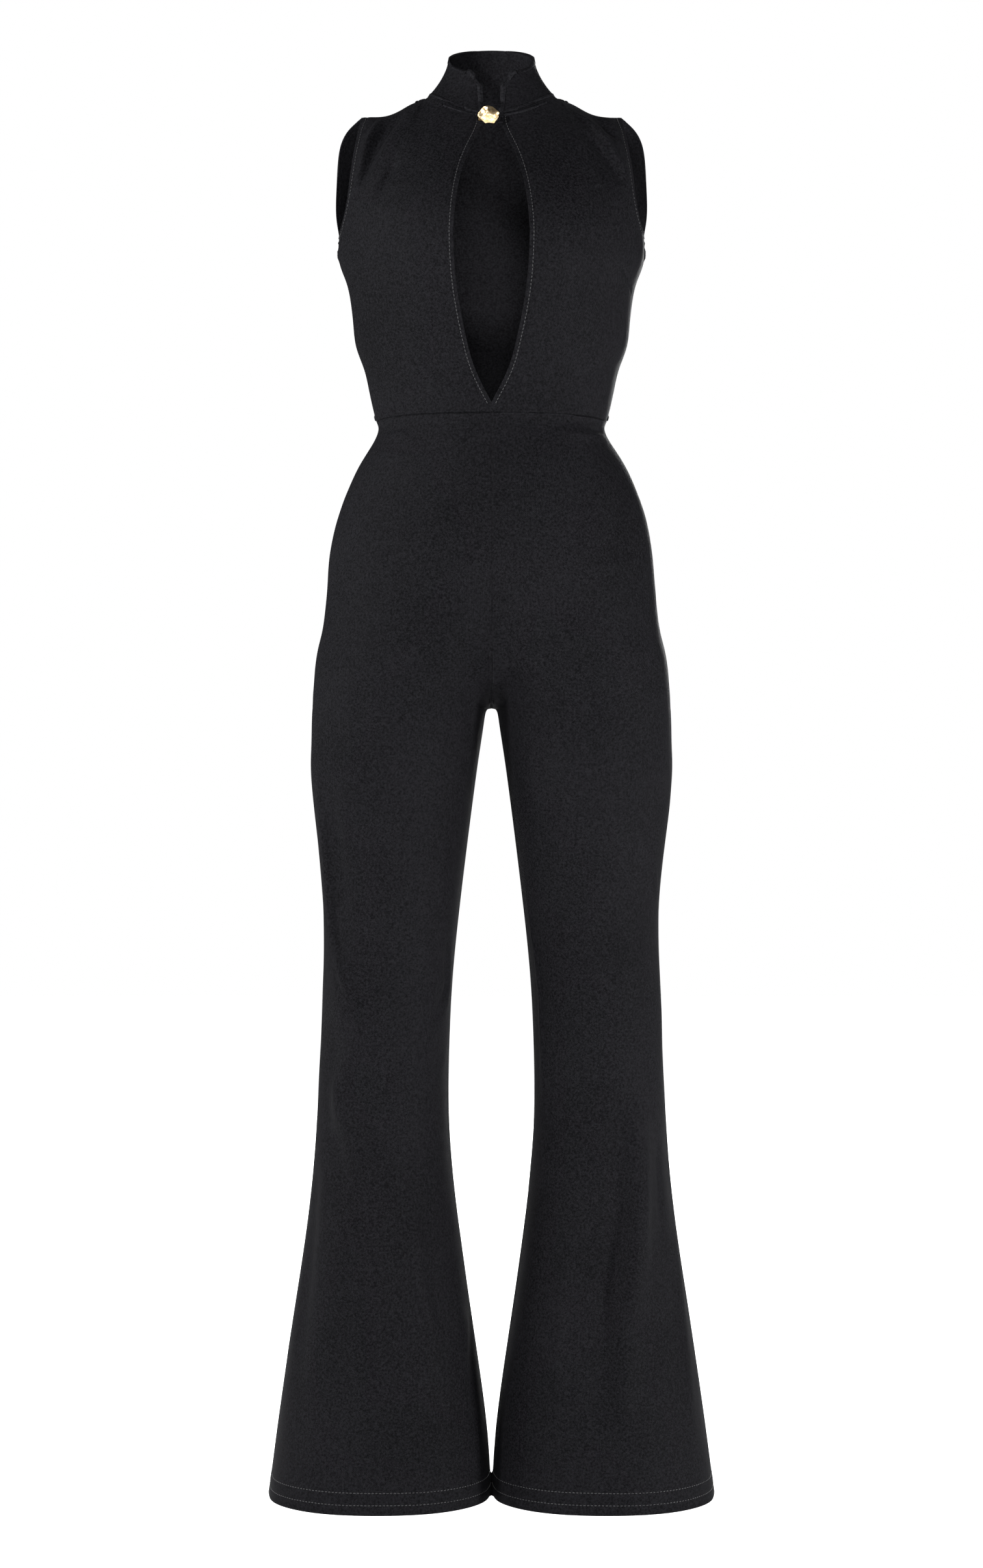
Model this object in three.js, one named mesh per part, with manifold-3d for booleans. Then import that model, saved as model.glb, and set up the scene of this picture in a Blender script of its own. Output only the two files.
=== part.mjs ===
// A sleeveless jumpsuit with a stand collar, a long front keyhole and flared legs, in black stretch
// jersey. It is filled out and hollow, as on a wearer, and open at the neck, armholes and hems.
//
// Millimetres, +Z up, the front faces -Y, and +X is the wearer's left. Heights in the tables run up
// from the hem. The last lines lower everything so that the origin lies between the shoulder tips,
// where the wearer's shoulders hold the garment.
import * as THREE from "three";
import { mergeVertices } from "three/addons/utils/BufferGeometryUtils.js";
import Module from "manifold-3d";

const wasm = await Module();
wasm.setup();

// Driving sizes
const tipHeight = 1404; // hem to the shoulder tips
const neckPointHeight = 1423.5; // hem to where the shoulder seam meets the collar
const waistHeight = 1092;
const underarmHeight = 1279;
const crotchHeight = 800;
const keyholeTip = 1101.7; // the sharp lower end of the keyhole
const clothThickness = 1.5;
const collarThickness = 2.4; // two layers
const seamGap = 0.3;
const roundness = 2.25; // exponent of every horizontal section: 2 is an ellipse

const neckHalfWidth = 66;
const frontNeckHeight = 1394; // neckline at the front opening
const backNeckHeight = 1436; // neckline at the nape
const openingHalfWidth = 8.5; // half the gap between the fronts at the button
const shoulderSeamY = 4;
const shoulderRoundingStart = 1360; // above this height the chest and back curve in to the seam
const neckSlope = 1.2; // rise of the shoulder line, carried on inside the neck

// Bodice sections below the underarm: half width at the side seam, and depths of front and back
const bodiceSections = [
  { height: 1092, halfWidth: 117.2, front: 88, back: 84 },
  { height: 1111, halfWidth: 122.5, front: 90, back: 82.5 },
  { height: 1138, halfWidth: 127.8, front: 96, back: 82 },
  { height: 1151, halfWidth: 131.8, front: 99.5, back: 82.5 },
  { height: 1164, halfWidth: 137.1, front: 103, back: 84 },
  { height: 1178, halfWidth: 139.8, front: 107, back: 86 },
  { height: 1204, halfWidth: 142.4, front: 113.5, back: 89 },
  { height: 1231, halfWidth: 147.1, front: 119, back: 93 },
  { height: 1257, halfWidth: 155.7, front: 122.5, back: 96.5 },
  { height: 1268, halfWidth: 155.8, front: 122.3, back: 97.6 },
  { height: 1279, halfWidth: 155.7, front: 121, back: 98.5 },
];

// The side outline has shallow waves where the cloth is slack. Away from the side seam the sections
// keep to the plain widths below.
const chestSections = [
  { height: 1092, halfWidth: 117.2 },
  { height: 1138, halfWidth: 129 },
  { height: 1185, halfWidth: 139.5 },
  { height: 1231, halfWidth: 148.5 },
  { height: 1262, halfWidth: 153.6 },
  { height: 1279, halfWidth: 155.7 },
  { height: 1313, halfWidth: 157 },
  { height: 1344, halfWidth: 155 },
  { height: 1371, halfWidth: 149 },
  { height: 1404, halfWidth: 139 },
];

// Bodice sections beside the armhole. A panel is part of a section of half width width, and ends at
// edge. The last rows only guide the curves above the shoulder tip.
const armhole = {
  front: [
    { height: 1279, width: 155.7, edge: 155.7, depth: 121 },
    { height: 1287, width: 155.7, edge: 151.8, depth: 119.2 },
    { height: 1296, width: 155.5, edge: 148.5, depth: 116.3 },
    { height: 1313, width: 155, edge: 145, depth: 109 },
    { height: 1344, width: 152, edge: 141.5, depth: 92.5 },
    { height: 1371, width: 145.5, edge: 137.6, depth: 76 },
    { height: 1383, width: 141.5, edge: 136, depth: 69 },
    { height: 1393, width: 139.5, edge: 134.2, depth: 64 },
    { height: 1404, width: 138, edge: 132, depth: 59 },
    { height: 1440, width: 138, edge: 125, depth: 50 },
  ],
  back: [
    { height: 1279, width: 155.7, edge: 155.7, depth: 98.5 },
    { height: 1287, width: 160, edge: 157, depth: 99 },
    { height: 1296, width: 162.5, edge: 158.8, depth: 99.5 },
    { height: 1313, width: 166, edge: 160.5, depth: 100 },
    { height: 1344, width: 167.5, edge: 159.5, depth: 98 },
    { height: 1371, width: 165.5, edge: 157, depth: 92 },
    { height: 1383, width: 161.5, edge: 152.5, depth: 88 },
    { height: 1393, width: 155, edge: 146, depth: 83 },
    { height: 1399, width: 149, edge: 140, depth: 80.5 },
    { height: 1404, width: 141, edge: 132, depth: 78 },
    { height: 1440, width: 141, edge: 60, depth: 66 },
  ],
};

// The shoulder seam seen from the front, from the neck out to the tip
const shoulderLine = [
  { across: 66, height: 1423.5 },
  { across: 75, height: 1421 },
  { across: 85, height: 1416.3 },
  { across: 95, height: 1410.6 },
  { across: 102, height: 1406.4 },
  { across: 115, height: 1404.6 },
  { across: 132, height: 1404 },
  { across: 170, height: 1404 },
];

// Half width of the keyhole at each height
const keyhole = [
  { height: 1101.7, halfWidth: 0.15 },
  { height: 1138, halfWidth: 17.9 },
  { height: 1173.5, halfWidth: 27.2 },
  { height: 1203, halfWidth: 32.8 },
  { height: 1236, halfWidth: 36.5 },
  { height: 1262, halfWidth: 37.5 },
  { height: 1293, halfWidth: 35.4 },
  { height: 1329, halfWidth: 29 },
  { height: 1354, halfWidth: 21 },
  { height: 1380, halfWidth: 10.4 },
  { height: 1391, halfWidth: 8.5 },
];

// Trouser sections: outer edge seen from the front, half width of the ring that a leg is part of,
// and depths of front and back. The two rings are one at the waist and part below the crotch.
const trouserSections = [
  { height: 0, outer: 227.4, half: 113.55, front: 99, back: 99 },
  { height: 36, outer: 222.5, half: 110.95, front: 97.5, back: 98 },
  { height: 62, outer: 219.5, half: 107.75, front: 96, back: 97 },
  { height: 95, outer: 214.8, half: 103.6, front: 94, back: 96 },
  { height: 128, outer: 210.2, half: 98.95, front: 92, back: 94.5 },
  { height: 162, outer: 205.5, half: 94.1, front: 89.5, back: 93 },
  { height: 195, outer: 200.2, half: 89, front: 87, back: 91 },
  { height: 228, outer: 195.5, half: 84.3, front: 84, back: 89 },
  { height: 261, outer: 190.2, half: 79.35, front: 81, back: 86.5 },
  { height: 294, outer: 185.6, half: 74.85, front: 78, back: 84.5 },
  { height: 328, outer: 182.3, half: 71.4, front: 75.5, back: 82.5 },
  { height: 361, outer: 179.6, half: 68.7, front: 73.5, back: 81 },
  { height: 394, outer: 177.6, half: 67.05, front: 72.5, back: 80 },
  { height: 427, outer: 175.6, half: 66.05, front: 72, back: 80 },
  { height: 460, outer: 174.3, half: 65.75, front: 72.5, back: 80.5 },
  { height: 494, outer: 173.3, half: 65.9, front: 73.5, back: 81.5 },
  { height: 527, outer: 172, half: 66.25, front: 75, back: 83 },
  { height: 560, outer: 171.4, half: 67.6, front: 76.5, back: 84.5 },
  { height: 593, outer: 170.7, half: 68.9, front: 78.5, back: 86.5 },
  { height: 626, outer: 173.2, half: 72.15, front: 80.5, back: 88.5 },
  { height: 660, outer: 176.9, half: 76, front: 82.5, back: 91 },
  { height: 693, outer: 181, half: 80.05, front: 85, back: 94 },
  { height: 726, outer: 184, half: 83.85, front: 87.5, back: 97.5 },
  { height: 759, outer: 184.2, half: 86.3, front: 90.5, back: 102 },
  { height: 784, outer: 183.7, half: 87.95, front: 93, back: 106 },
  { height: 798, outer: 183.1, half: 89.05, front: 94.3, back: 108.3 },
  { height: 800, outer: 182.9, half: 89.25, front: 94.6, back: 108.8 },
  { height: 803, outer: 182.8, half: 89.6, front: 95, back: 109.4 },
  { height: 808, outer: 182.6, half: 90.3, front: 95.5, back: 110.5 },
  { height: 815, outer: 182.3, half: 91.55, front: 96, back: 112 },
  { height: 826, outer: 181.4, half: 94.05, front: 97, back: 114.5 },
  { height: 842, outer: 180, half: 98.55, front: 98.2, back: 118 },
  { height: 862, outer: 176.5, half: 105.1, front: 99.3, back: 121 },
  { height: 886, outer: 171, half: 113.4, front: 100.4, back: 122.5 },
  { height: 925, outer: 167, half: 128, front: 101.3, back: 121.5 },
  { height: 955, outer: 164.3, half: 137.6, front: 101.3, back: 118 },
  { height: 985, outer: 159, half: 143.2, front: 100.3, back: 112.5 },
  { height: 1010, outer: 151.5, half: 142.9, front: 98.6, back: 106.5 },
  { height: 1030, outer: 143.5, half: 139.3, front: 96.6, back: 101 },
  { height: 1048, outer: 134.8, half: 133.5, front: 94, back: 95.5 },
  { height: 1064, outer: 124.8, half: 124.8, front: 91, back: 90 },
  { height: 1074, outer: 118.8, half: 118.8, front: 89, back: 86.8 },
  { height: 1084, outer: 115.4, half: 115.4, front: 87.6, back: 84.2 },
  { height: 1092, outer: 117.2, half: 117.2, front: 88, back: 84 },
];

// The largest folds, seen from the front or the back: a ridge where the rise is positive and a
// trough where it is negative, from one end to the other, fading out at both.
const folds = [
  { face: "front", fromX: 96, fromHeight: 1398, toX: 134, toHeight: 1326, reach: 8, rise: 3.5 },
  { face: "front", fromX: 84, fromHeight: 1388, toX: 124, toHeight: 1322, reach: 9, rise: -3 },
  { face: "front", fromX: -98, fromHeight: 1396, toX: -134, toHeight: 1328, reach: 9, rise: -4 },
  { face: "front", fromX: -88, fromHeight: 1372, toX: -116, toHeight: 1302, reach: 9, rise: -2.5 },
  { face: "front", fromX: 108, fromHeight: 1070, toX: 62, toHeight: 1072, reach: 6, rise: 2.5 },
  { face: "front", fromX: -110, fromHeight: 1071, toX: -72, toHeight: 1073, reach: 6, rise: 2 },
  { face: "front", fromX: 138, fromHeight: 430, toX: 117, toHeight: 60, reach: 16, rise: 7 },
  { face: "front", fromX: 172, fromHeight: 380, toX: 186, toHeight: 120, reach: 14, rise: -5 },
  { face: "front", fromX: -84, fromHeight: 330, toX: -56, toHeight: 40, reach: 16, rise: 5 },
  { face: "front", fromX: -170, fromHeight: 620, toX: -136, toHeight: 480, reach: 13, rise: 5 },
  { face: "front", fromX: -156, fromHeight: 480, toX: -158, toHeight: 360, reach: 15, rise: -5 },
  { face: "back", fromX: 100, fromHeight: 1396, toX: 146, toHeight: 1318, reach: 9, rise: -4 },
  { face: "back", fromX: -104, fromHeight: 1398, toX: -144, toHeight: 1326, reach: 9, rise: -3.5 },
  { face: "back", fromX: 106, fromHeight: 1104, toX: 42, toHeight: 1112, reach: 7, rise: -3 },
  { face: "back", fromX: -104, fromHeight: 1108, toX: -54, toHeight: 1120, reach: 7, rise: -2.5 },
  { face: "back", fromX: 128, fromHeight: 420, toX: 112, toHeight: 70, reach: 16, rise: 6 },
  { face: "back", fromX: -116, fromHeight: 400, toX: -138, toHeight: 50, reach: 16, rise: 6 },
  { face: "back", fromX: 60, fromHeight: 792, toX: 140, toHeight: 812, reach: 10, rise: -4 },
  { face: "back", fromX: -58, fromHeight: 794, toX: -136, toHeight: 806, reach: 10, rise: -4 },
];

const jersey = () => new THREE.MeshStandardMaterial({ color: 0x1b1b1d, roughness: 0.85, metalness: 0 });
const castGold = () => new THREE.MeshStandardMaterial({ color: 0xd9a441, roughness: 0.25, metalness: 1 });

const mix = THREE.MathUtils.lerp;
const clamp = THREE.MathUtils.clamp;

// A smooth curve through one column of a table, with no overshoot between its rows
function column(table, key, at = "height") {
  const xs = table.map((row) => row[at]);
  const ys = table.map((row) => row[key]);
  const slopes = xs.slice(1).map((x, i) => (ys[i + 1] - ys[i]) / (x - xs[i]));
  const tangents = xs.map((x, i) => {
    if (i === 0) return slopes[0];
    if (i === xs.length - 1) return slopes[i - 1];
    const [before, after] = [slopes[i - 1], slopes[i]];
    return before * after <= 0 ? 0 : (2 * before * after) / (before + after);
  });
  return (x) => {
    if (x <= xs[0]) return ys[0];
    if (x >= xs.at(-1)) return ys.at(-1);
    const i = xs.findIndex((edge) => edge > x) - 1;
    const span = xs[i + 1] - xs[i];
    const t = (x - xs[i]) / span;
    const ease = 3 * t ** 2 - 2 * t ** 3;
    const leaving = tangents[i] * span * t * (1 - t) ** 2;
    const arriving = tangents[i + 1] * span * t ** 2 * (1 - t);
    return mix(ys[i], ys[i + 1], ease) + leaving - arriving;
  };
}

const flatPower = 2 / roundness;
const sideward = (angle) => Math.sign(angle) * Math.abs(Math.sin(angle)) ** flatPower;
const angleAt = (share) => Math.asin(clamp(share, 0, 1) ** (1 / flatPower));
const easeBothEnds = (t) => (1 - Math.cos(Math.PI * t)) / 2;

// How far the folds lift a point of the cloth along its outward normal
function foldRise(face, x, height) {
  const from = new THREE.Vector2();
  const along = new THREE.Vector2();
  return folds.reduce((sum, fold) => {
    if (fold.face !== face) return sum;
    from.set(x - fold.fromX, height - fold.fromHeight);
    along.set(fold.toX - fold.fromX, fold.toHeight - fold.fromHeight);
    const t = from.dot(along) / along.lengthSq();
    const off = from.cross(along) / along.length();
    const fade = Math.sin(Math.PI * clamp(t, 0, 1));
    return sum + fold.rise * fade * Math.exp(-((off / fold.reach) ** 2));
  }, 0);
}

// A closed wall under a grid of outer points, as a mesh. inwardAt may turn the inward direction at
// an edge, so that two pieces share the plane of the seam between them.
function clothWall(name, grid, { thickness, outwardOf, inwardAt, rise }) {
  const last = [grid.length - 1, grid[0].length - 1];
  const inward = grid.map((row, i) =>
    row.map((point, j) => {
      const up = grid[Math.min(i + 1, last[0])][j].clone().sub(grid[Math.max(i - 1, 0)][j]);
      const across = row[Math.min(j + 1, last[1])].clone().sub(row[Math.max(j - 1, 0)]);
      const normal = up.cross(across).normalize();
      if (normal.dot(outwardOf(point)) > 0) normal.negate();
      return inwardAt(normal, point, i, j).normalize();
    }),
  );
  const outer = grid.map((row, i) =>
    row.map((point, j) => point.clone().addScaledVector(inward[i][j], -rise(point, i, j))),
  );
  const inner = outer.map((row, i) =>
    row.map((point, j) => point.clone().addScaledVector(inward[i][j], thickness)),
  );
  const points = [...outer.flat(), ...inner.flat()];
  const layer = outer.flat().length;
  const at = (i, j, deep) => i * (last[1] + 1) + j + (deep ? layer : 0);
  const faces = [];
  const quad = (a, b, c, d) => {
    const shorter = points[a].distanceTo(points[c]) <= points[b].distanceTo(points[d]);
    faces.push(...(shorter ? [a, b, c, a, c, d] : [a, b, d, b, c, d]));
  };
  for (let i = 0; i < last[0]; i++)
    for (let j = 0; j < last[1]; j++) {
      quad(at(i, j), at(i, j + 1), at(i + 1, j + 1), at(i + 1, j));
      quad(at(i, j, 1), at(i + 1, j, 1), at(i + 1, j + 1, 1), at(i, j + 1, 1));
    }
  for (let j = 0; j < last[1]; j++) {
    quad(at(0, j), at(0, j, 1), at(0, j + 1, 1), at(0, j + 1));
    quad(at(last[0], j), at(last[0], j + 1), at(last[0], j + 1, 1), at(last[0], j, 1));
  }
  for (let i = 0; i < last[0]; i++) {
    quad(at(i, 0), at(i + 1, 0), at(i + 1, 0, 1), at(i, 0, 1));
    quad(at(i, last[1]), at(i, last[1], 1), at(i + 1, last[1], 1), at(i + 1, last[1]));
  }
  const volume = faces.reduce((sum, _, k) => {
    if (k % 3) return sum;
    const [a, b, c] = faces.slice(k, k + 3).map((n) => points[n]);
    return sum + a.dot(b.clone().cross(c));
  }, 0);
  if (volume < 0) faces.reverse();
  const geometry = new THREE.BufferGeometry().setFromPoints(points).setIndex(faces);
  geometry.computeVertexNormals();
  const mesh = new THREE.Mesh(geometry, jersey());
  mesh.name = name;
  return mesh;
}

// The torso's surface: depth of the cloth at a place seen from the front or the back
const faces = ["front", "back"];
const byFace = (make) => Object.fromEntries(faces.map((face) => [face, make(face)]));
const bodiceDepth = byFace((face) => {
  const lower = bodiceSections.map((row) => ({ height: row.height, depth: row[face] }));
  return column([...lower, ...armhole[face].slice(1)], "depth");
});
const sideWidth = column(bodiceSections, "halfWidth");
const ringWidth = byFace((face) => column(armhole[face], "width"));
const armholeEdge = byFace((face) => column(armhole[face], "edge"));
const seamHeight = column(shoulderLine, "height", "across");
const keyholeEdge = column(keyhole, "halfWidth");

const chestWidth = column(chestSections, "halfWidth");
const bodiceWidth = (face, height) => (height < underarmHeight ? sideWidth(height) : ringWidth[face](height));
const bodiceEdge = (face, height) =>
  height < underarmHeight ? sideWidth(height) : armholeEdge[face](height);

function shoulderLineAt(x) {
  const across = Math.abs(x);
  return across < neckHalfWidth ? neckPointHeight + neckSlope * (neckHalfWidth - across) : seamHeight(across);
}

function torsoY(face, x, height) {
  const width = bodiceWidth(face, height);
  const nearSide = clamp(Math.abs(x) / width, 0, 1) ** 6;
  const share = clamp(Math.abs(x) / mix(chestWidth(height), width, nearSide), 0, 1);
  const section = (1 - share ** roundness) ** (1 / roundness);
  const rounding = (height - shoulderRoundingStart) / (shoulderLineAt(x) - shoulderRoundingStart);
  const level = Math.sqrt(1 - clamp(rounding, 0, 1) ** 2);
  const depth = bodiceDepth[face](height) * section * level + seamGap / 2;
  return (face === "front" ? -depth : depth) + shoulderSeamY * (1 - level);
}

// Upper edge of a bodice panel: the neckline, then the shoulder seam
function topEdge(face, x) {
  const across = Math.abs(x);
  if (across >= neckHalfWidth) return seamHeight(across);
  const middle = face === "front" ? frontNeckHeight : backNeckHeight;
  return mix(middle, neckPointHeight, (across / neckHalfWidth) ** 2);
}

const sideRows = 9; // rows from waist to underarm
const armholeRows = 10; // rows from underarm to shoulder
const bodiceRows = sideRows + armholeRows;
const neckColumns = 7;
const neckGather = 1.35; // crowds the columns toward the front opening
const shoulderColumns = 5;
const bodiceColumns = neckColumns + shoulderColumns;

// Height of a row at the side or armhole, and at the keyhole or the middle of the back
function rowEnds(row, topHeight, firstStep) {
  const middleUnderarm = underarmHeight - 15;
  if (row > sideRows) {
    const t = easeBothEnds((row - sideRows) / armholeRows);
    return [mix(underarmHeight, tipHeight, t), mix(middleUnderarm, topHeight, t)];
  }
  const t = Math.max((row - 1) / (sideRows - 1), 0);
  const start = row === 0 ? waistHeight : waistHeight + firstStep;
  return [mix(start, underarmHeight, t), mix(start, middleUnderarm, t)];
}

// One point of a bodice panel, for x on the wearer's left
function bodicePoint(face, row, col, opening) {
  const topHeight = face === "front" ? frontNeckHeight : backNeckHeight;
  const [outerHeight, innerHeight] = rowEnds(row, topHeight, keyholeTip - waistHeight);
  const inner = opening ? Math.max(keyholeEdge(innerHeight), seamGap / 2) : 0;
  const outer = bodiceEdge(face, outerHeight);
  const width = bodiceWidth(face, outerHeight);
  const spread = col / bodiceColumns;
  const beyondEdge = Math.PI / 2 - angleAt(outer / width);
  const angle = mix(angleAt(inner / width), Math.PI / 2, spread) - beyondEdge * spread ** 4;
  const neckStart = opening ? openingHalfWidth : 0;
  const neckShare = (col / neckColumns) ** (opening ? neckGather : 1);
  const neckAngle = mix(Math.asin(neckStart / neckHalfWidth), Math.PI / 2, neckShare);
  const shoulderShare = (col - neckColumns) / shoulderColumns;
  const onNeck = col < neckColumns;
  const topX = onNeck ? neckHalfWidth * Math.sin(neckAngle) : mix(neckHalfWidth, outer, shoulderShare);
  const share = row / bodiceRows;
  const lowAcross = (width * sideward(angle) - inner) / (outer - inner);
  const topAcross = (topX - neckStart) / (outer - neckStart);
  const across = mix(lowAcross, topAcross, share ** 3);
  const x = mix(inner, outer, across);
  const tipX = armholeEdge[face](tipHeight);
  const straightTop = mix(topHeight, tipHeight, (x - neckStart) / (tipX - neckStart));
  const height = mix(innerHeight, outerHeight, across) + share ** 4 * (topEdge(face, x) - straightTop);
  return new THREE.Vector3(x, 0, height);
}

// The plane of the neck seam: inwards and down, the same for the bodice and the collar
const neckInward = (point) => new THREE.Vector3(-point.x / neckHalfWidth, -point.y / neckHalfWidth, -0.55);

function bodiceInward(normal, point, i, j, { face, columns, opening }) {
  const atTop = i === bodiceRows;
  const outermost = j === columns || (!opening && j === 0);
  if (i === 0) normal.z = 0;
  if (outermost && i <= sideRows) normal.set(-Math.sign(point.x), 0, 0);
  if (opening && j === 0 && point.z <= keyholeTip + 1) normal.x = 0;
  if (atTop && Math.abs(point.x) > neckHalfWidth + 1) normal.set(0, 0, -1);
  if (atTop && Math.abs(point.x) <= neckHalfWidth + 1) normal.copy(neckInward(point));
  return normal;
}

function bodicePanel(name, face, side) {
  const opening = face === "front";
  const columns = opening ? bodiceColumns : 2 * bodiceColumns;
  const grid = [];
  for (let i = 0; i <= bodiceRows; i++) {
    const row = [];
    for (let j = 0; j <= columns; j++) {
      const col = opening ? j : Math.abs(j - bodiceColumns);
      const point = bodicePoint(face, i, col, opening);
      point.x *= opening ? side : Math.sign(j - bodiceColumns);
      point.y = torsoY(face, point.x, point.z);
      if (col === bodiceColumns && i <= sideRows) point.y = (Math.sign(point.y) * seamGap) / 2;
      if (i === 0) point.z += seamGap / 2;
      if (i === bodiceRows && col <= neckColumns) point.z -= seamGap / 2;
      row.push(point);
    }
    grid.push(row);
  }
  const free = (i, j) => i > 0 && i < bodiceRows && j < columns && (opening || j > 0);
  return clothWall(name, grid, {
    thickness: clothThickness,
    outwardOf: (point) => new THREE.Vector3(point.x, point.y * 2, point.z > tipHeight - 10 ? 60 : 0),
    inwardAt: (normal, point, i, j) => bodiceInward(normal, point, i, j, { face, columns, opening }),
    rise: (point, i, j) => (free(i, j) ? foldRise(face, point.x, point.z) : 0),
  });
}

const outerEdge = column(trouserSections, "outer");
const legHalf = column(trouserSections, "half");
const trouserDepth = byFace((face) => column(trouserSections, face));
const trouserRows = trouserSections.map((row) => row.height).filter(keepRow);
const trouserColumns = 10;
const bridge = { width: 30, share: 0.88, reach: 70, fadeFrom: 862, fadeOver: 80, sharpness: 8 };

// Rows of the trouser grid: every row of the table near the crotch and above, every second on the legs
function keepRow(height, i) {
  return height > crotchHeight - 45 || i % 2 === 0;
}

// The cloth bridges the two legs above the crotch: how far forward it lies, for a depth of 1
function bridgeDepth(x, height) {
  if (height <= crotchHeight) return 0;
  const q = Math.min((height - crotchHeight) / bridge.reach, 1);
  const curve = (1 - (1 - q) ** 2.2) ** (1 / 2.2);
  const fade = 1 - THREE.MathUtils.smoothstep(height, bridge.fadeFrom, bridge.fadeFrom + bridge.fadeOver);
  return bridge.share * curve * fade * Math.exp(-((x / bridge.width) ** 2));
}

// One point of a trouser panel, for the wearer's left leg, from the inner seam to the side seam
function trouserPoint(face, height, col) {
  const half = legHalf(height);
  const middle = outerEdge(height) - half;
  const onCentreSeam = height >= crotchHeight && col === 0;
  const inner = onCentreSeam ? seamGap / 2 : Math.max(middle - half, seamGap / 2);
  const legAcross = (1 + sideward(mix(-Math.PI / 2, Math.PI / 2, col / trouserColumns))) / 2;
  const waistAcross = sideward((Math.PI / 2) * (col / trouserColumns));
  const spread = THREE.MathUtils.smoothstep(height, crotchHeight, crotchHeight + 200);
  const x = mix(inner, outerEdge(height), mix(legAcross, waistAcross, spread));
  const share = clamp(Math.abs(x - middle) / half, 0, 1);
  const leg = (1 - share ** roundness) ** (1 / roundness);
  const p = bridge.sharpness;
  const joined = (leg ** p + bridgeDepth(x, height) ** p) ** (1 / p);
  const depth = Math.max(trouserDepth[face](height) * joined, seamGap / 2);
  return new THREE.Vector3(x, face === "front" ? -depth : depth, height);
}

function trouserInward(normal, i, j, side) {
  const height = trouserRows[i];
  if (j === trouserColumns) normal.set(-side, 0, 0);
  if (j === 0 && height <= crotchHeight) normal.set(side, 0, 0);
  if (j === 0 && height > crotchHeight) normal.x = 0;
  if (i === trouserRows.length - 1) normal.z = 0;
  return normal;
}

function trouserPanel(name, face, side) {
  const top = trouserRows.length - 1;
  const grid = trouserRows.map((height, i) => {
    const row = [];
    for (let j = 0; j <= trouserColumns; j++) {
      const point = trouserPoint(face, height, j);
      point.x *= side;
      if (i === top) point.z -= seamGap / 2;
      row.push(point);
    }
    return row;
  });
  const free = (i, j) => i < top && j > 0 && j < trouserColumns;
  return clothWall(name, grid, {
    thickness: clothThickness,
    outwardOf: ({ x, y, z }) => new THREE.Vector3(x - side * (outerEdge(z) - legHalf(z)), y * 2, 0),
    inwardAt: (normal, point, i, j) => trouserInward(normal, i, j, side),
    rise: (point, i, j) => (free(i, j) ? foldRise(face, point.x, point.z) : 0),
  });
}

// The stand collar rises from the neckline and closes in to the neck above it
const collarTop = { halfWidth: 44, openingHalfWidth: 11, front: 50, back: 47, middle: 1463 };
const collarTilt = { front: 26, back: 20.5 }; // how much lower or higher the top runs there
const collarRows = 6;
const collarFlare = 1.65; // how quickly the band leaves the shoulders and stands up
const collarCorner = { drop: 12, reach: 0.13 }; // how far the rounded front corners drop

function collarBase(angle) {
  const x = neckHalfWidth * Math.sin(angle);
  const face = Math.cos(angle) > 0 ? "front" : "back";
  const height = topEdge(face, Math.min(Math.abs(x), neckHalfWidth - 1e-6));
  return new THREE.Vector3(x, torsoY(face, x, height), height + seamGap / 2);
}

function collarPoint(angle, t, startAngle) {
  const base = collarBase(angle);
  const turn = Math.abs(angle);
  const topStart = Math.asin(collarTop.openingHalfWidth / collarTop.halfWidth);
  const spread = (turn - startAngle) / (Math.PI / 2 - startAngle);
  const topTurn = turn < Math.PI / 2 ? mix(topStart, Math.PI / 2, spread) : turn;
  const face = topTurn < Math.PI / 2 ? "front" : "back";
  const corner = collarCorner.drop * Math.exp(-(((topTurn - topStart) / collarCorner.reach) ** 2));
  const top = new THREE.Vector3(
    collarTop.halfWidth * Math.sin(topTurn) * Math.sign(angle),
    -collarTop[face] * Math.cos(topTurn),
    collarTop.middle - collarTilt[face] * Math.cos(topTurn) - corner,
  );
  const closing = 1 - (1 - t) ** collarFlare;
  return new THREE.Vector3(mix(base.x, top.x, closing), mix(base.y, top.y, closing), mix(base.z, top.z, t));
}

// Angles round the neck from the left front edge to the right one, the same as the bodice's columns
function neckAngles(startAngle) {
  const half = [];
  for (let j = 0; j < neckColumns; j++)
    half.push(mix(startAngle, Math.PI / 2, (j / neckColumns) ** neckGather));
  for (let j = 0; j < neckColumns; j++) half.push(mix(Math.PI / 2, Math.PI, j / neckColumns));
  return [...half, Math.PI, ...half.map((angle) => -angle).reverse()];
}

function collar() {
  const startAngle = Math.asin(openingHalfWidth / neckHalfWidth);
  const grid = [];
  for (let i = 0; i <= collarRows; i++)
    grid.push(neckAngles(startAngle).map((angle) => collarPoint(angle, i / collarRows, startAngle)));
  return clothWall("collar", grid, {
    thickness: collarThickness,
    outwardOf: (point) => new THREE.Vector3(point.x, point.y, 20),
    inwardAt: (normal, point, i) => (i === 0 ? normal.copy(neckInward(point)) : normal),
    rise: () => 0,
  });
}

// The button: an uneven cast nugget that bridges the opening, with its shank on the right front
const button = { x: -2.4, height: 1389.5, halfWidth: 12, halfHeight: 10, halfDepth: 4.5, standOff: 6 };
// The cloth leans back under the shank's foot by its foot slope
const shank = { x: -11.4, height: 1386.5, radius: 2.2, footSlope: 0.65 };
const loop = { radius: 0.9, reach: 3.4, standOff: 1.6, sewnAt: 11.5 };

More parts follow.
